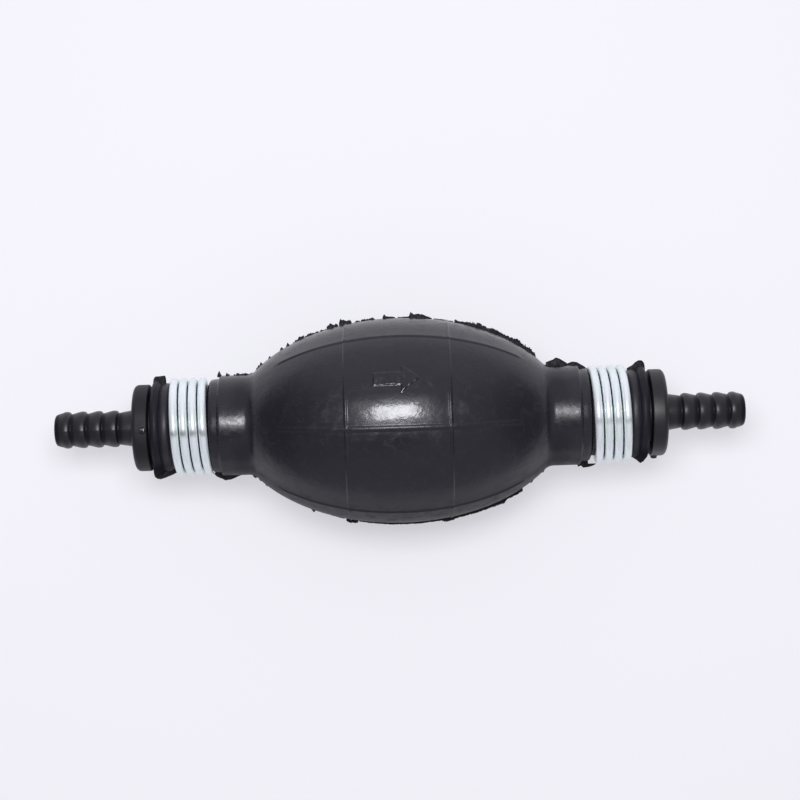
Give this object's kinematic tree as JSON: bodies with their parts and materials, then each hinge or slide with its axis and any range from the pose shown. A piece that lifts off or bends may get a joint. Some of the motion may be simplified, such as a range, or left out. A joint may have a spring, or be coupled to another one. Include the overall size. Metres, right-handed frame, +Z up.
{
  "type": "siphon bulb pump",
  "caption": "Hand-squeezed in-line siphon primer bulb: rubber bulb, two hose barbs with check valves, and wire coil clamps.",
  "frame": {"origin": "middle of the bulb, on its axis", "axes": "+X along the flow, from the inlet barb to the outlet barb; +Z up, towards the flow arrow's side; the moulding's parting plane is XY"},
  "size_m": [0.172, 0.0523, 0.0513],
  "materials": {
    "bulb_rubber": "moulded nitrile rubber, satin with a faint bloom",
    "black_nylon": "moulded nylon, soft gloss",
    "zinc_wire": "bright zinc-plated spring wire",
    "valve_nylon": "natural white acetal",
    "seal_rubber": "brown fluoroelastomer",
    "spring_steel": "drawn stainless wire"
  },
  "bodies": {
    "housing": {"bulb": "bulb_rubber", "inlet_barb": "black_nylon", "inlet_clamp": "zinc_wire", "inlet_valve_seat": "valve_nylon", "inlet_valve_cage": "valve_nylon", "inlet_valve_spring": "spring_steel", "inlet_o_ring": "seal_rubber", "outlet_barb": "black_nylon", "outlet_clamp": "zinc_wire", "outlet_valve_seat": "valve_nylon", "outlet_valve_cage": "valve_nylon", "outlet_valve_spring": "spring_steel", "outlet_o_ring": "seal_rubber"},
    "front_wall": {"squeeze_wall_front": "bulb_rubber"},
    "back_wall": {"squeeze_wall_back": "bulb_rubber"},
    "inlet_valve": {"inlet_poppet": "valve_nylon", "inlet_poppet_seal": "seal_rubber"},
    "outlet_valve": {"outlet_poppet": "valve_nylon", "outlet_poppet_seal": "seal_rubber"}
  },
  "joints": [
    {"name": "squeeze_front", "type": "slide", "parent": "housing", "child": "front_wall", "axis": [0, 1, 0], "range_m": [0, 0.009], "stiffness_N_per_m": 1500},
    {"name": "squeeze_back", "type": "slide", "parent": "housing", "child": "back_wall", "axis": [0, -1, 0], "range_m": [0, 0.009], "stiffness_N_per_m": 1500},
    {"name": "inlet_valve_lift", "type": "slide", "parent": "housing", "child": "inlet_valve", "axis": [1, 0, 0], "range_m": [0, 0.0022], "stiffness_N_per_m": 30, "springref_m": -0.003, "deforming": ["inlet_valve_spring"]},
    {"name": "outlet_valve_lift", "type": "slide", "parent": "housing", "child": "outlet_valve", "axis": [1, 0, 0], "range_m": [0, 0.0022], "stiffness_N_per_m": 30, "springref_m": -0.003, "deforming": ["outlet_valve_spring"]}
  ],
  "couplings": [
    {"joint": "squeeze_back", "follows": "squeeze_front", "ratio": 1}
  ]
}
